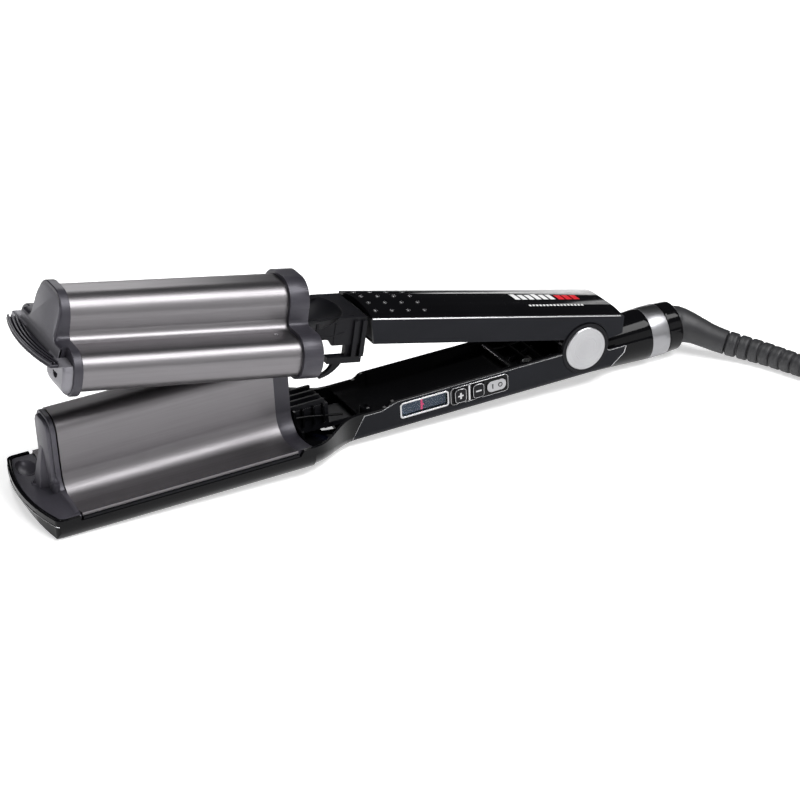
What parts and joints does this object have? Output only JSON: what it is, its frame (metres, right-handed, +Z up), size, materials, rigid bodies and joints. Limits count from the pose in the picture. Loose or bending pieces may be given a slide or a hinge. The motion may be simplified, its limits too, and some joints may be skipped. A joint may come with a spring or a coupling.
{
  "type": "hair crimper",
  "caption": "Deep-wave hair crimper: hinged jaws with ridged metal plates, long handles, side display with keys, swivel cord collar and coiled cord with plug.",
  "frame": {"origin": "middle of the flat resting pad under the lower jaw, on the table", "axes": "+X from the jaws towards the cord, +Z up from the table, -Y the side with the display and keys"},
  "size_m": [0.5114, 0.146, 0.107],
  "materials": {
    "gloss_black": "high gloss",
    "satin_black": "satin",
    "cap_grey": "fine satin, slightly metallic grey",
    "wave_metal": "satin titanium-grey coat",
    "silver": "brushed with turning marks",
    "dark_chrome": "polished",
    "steel": "plain",
    "aluminium": "as cut",
    "lcd": "unlit display",
    "window": "clear",
    "board_green": "circuit board",
    "ceramic": "heater ceramic",
    "rubber_black": "soft satin",
    "plug_black": "satin",
    "wire": "insulation",
    "nylon": "slippery",
    "copper": "plain",
    "pin_nickel": "nickel plated",
    "strap": "woven",
    "rib_black": "heat-proof, satin"
  },
  "bodies": {
    "lower_arm": {"lower_shell": "gloss_black", "lower_band_near": "satin_black", "lower_band_far": "satin_black", "lower_inner_cover": "gloss_black", "lower_jaw_frame": "cap_grey", "lower_front_cap": "cap_grey", "lower_rear_cap": "cap_grey", "lower_wave_plate": "wave_metal", "lower_heater": "ceramic", "lower_heat_saddle": "aluminium", "temperature_sensor": "ceramic", "lower_bridge": "rib_black", "display_bezel": "dark_chrome", "display_window": "window", "display_module": "lcd", "key_bezel": "gloss_black", "key_switches": "satin_black", "control_board": "board_green", "hinge_pin": "steel", "torsion_spring": "steel", "hinge_washers": "nylon", "pivot_cap_near": "gloss_black", "pivot_cap_far": "gloss_black", "medallion_near": "silver", "medallion_far": "silver", "collar": "gloss_black", "collar_ring": "dark_chrome", "slip_contacts": "copper", "mains_wires": "wire", "jaw_wires": "wire", "shell_screws": "steel", "strain_boot": "rubber_black", "cord_lead": "rubber_black", "cord_coil": "rubber_black", "cord_tail": "rubber_black", "cord_tie": "strap", "plug_body": "plug_black", "plug_pins": "pin_nickel"},
    "upper_arm": {"upper_wave_plate": "wave_metal", "upper_front_cap": "cap_grey", "upper_rear_cap": "cap_grey", "upper_heaters": "ceramic", "upper_heat_saddles": "aluminium", "thermal_fuse": "ceramic", "upper_neck": "gloss_black", "upper_cover": "gloss_black", "upper_frame": "rib_black", "upper_inner_cover": "gloss_black", "cover_screws": "steel", "upper_wires": "wire", "upper_band_near": "satin_black", "upper_band_far": "satin_black"},
    "swivel": {"swivel_ring": "gloss_black", "swivel_spindle": "nylon"},
    "plus_key": {"plus_key": "gloss_black"},
    "minus_key": {"minus_key": "gloss_black"},
    "power_key": {"power_key": "silver"}
  },
  "joints": [
    {"name": "arm_hinge", "type": "hinge", "parent": "lower_arm", "child": "upper_arm", "pos_m": [0.243, 0, 0.02243], "axis": [0, 1, 0], "range_deg": [-11.5, 0], "stiffness_Nm_per_rad": 2, "springref_deg": 34.38},
    {"name": "cord_swivel", "type": "hinge", "parent": "lower_arm", "child": "swivel", "pos_m": [0.3006, 0, 0.01375], "axis": [0.9993, 0, 0.0366], "continuous": true},
    {"name": "plus_key_press", "type": "slide", "parent": "lower_arm", "child": "plus_key", "axis": [0, 1, 0], "range_m": [0, 0.0006], "stiffness_N_per_m": 800, "springref_m": -0.0005},
    {"name": "minus_key_press", "type": "slide", "parent": "lower_arm", "child": "minus_key", "axis": [0, 1, 0], "range_m": [0, 0.0006], "stiffness_N_per_m": 800, "springref_m": -0.0005},
    {"name": "power_key_press", "type": "slide", "parent": "lower_arm", "child": "power_key", "axis": [0, 1, 0], "range_m": [0, 0.0006], "stiffness_N_per_m": 800, "springref_m": -0.0005}
  ]
}
